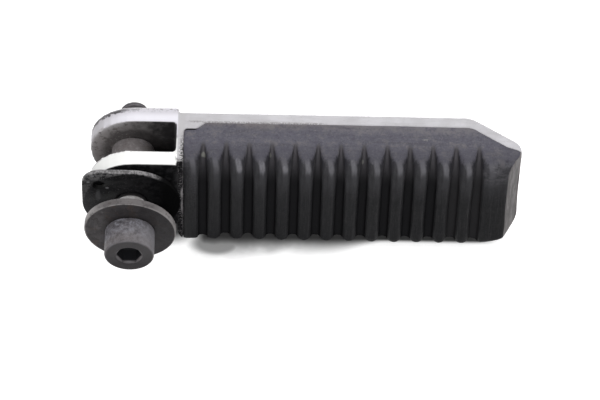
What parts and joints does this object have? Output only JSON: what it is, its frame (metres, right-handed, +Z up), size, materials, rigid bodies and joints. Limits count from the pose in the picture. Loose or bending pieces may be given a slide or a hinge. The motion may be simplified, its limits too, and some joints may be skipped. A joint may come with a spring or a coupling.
{
  "type": "motorcycle passenger footpeg",
  "caption": "Folding passenger footpeg: cast fork with hinge bolt, washer, bush and stop plate, and a tapered seat that carries a cross-ribbed rubber tread.",
  "frame": {"origin": "on the hinge bolt's axis, midway between the two ears of the fork", "axes": "+X along the peg from the hinge to the tip, +Y along the hinge bolt from its head to its tip, +Z up as the peg lies, on the long lower edge of its tread"},
  "size_m": [0.1149, 0.0477, 0.0369],
  "materials": {
    "cast_aluminium": "worn, lightly soiled cast aluminium",
    "black_rubber": "dusty matt moulded rubber",
    "plated_steel": "dull zinc plating",
    "dull_steel": "worn dark steel",
    "dark_steel": "dark steel with brown patches",
    "brown_steel": "dull brown-grey steel",
    "black_paint": "black paint, scuffed on the edge"
  },
  "bodies": {
    "peg": {"peg_body": "cast_aluminium", "rubber_tread": "black_rubber", "tread_strip": "plated_steel", "tread_screw_1": "plated_steel", "tread_screw_2": "plated_steel"},
    "bolt": {"hinge_bolt": "dull_steel"},
    "washer": {"big_washer": "dark_steel"},
    "bush": {"fork_bush": "brown_steel"},
    "plate": {"stop_plate": "black_paint"}
  },
  "joints": [
    {"name": "bolt_turn", "type": "hinge", "parent": "peg", "child": "bolt", "pos_m": [0, 0, 0], "axis": [0, 1, 0], "continuous": true},
    {"name": "washer_turn", "type": "hinge", "parent": "bolt", "child": "washer", "pos_m": [0, 0, 0], "axis": [0, 1, 0], "continuous": true},
    {"name": "bush_turn", "type": "hinge", "parent": "bolt", "child": "bush", "pos_m": [0, 0, 0], "axis": [0, 1, 0], "continuous": true},
    {"name": "plate_turn", "type": "hinge", "parent": "bolt", "child": "plate", "pos_m": [0, 0, 0], "axis": [0, 1, 0], "continuous": true}
  ]
}
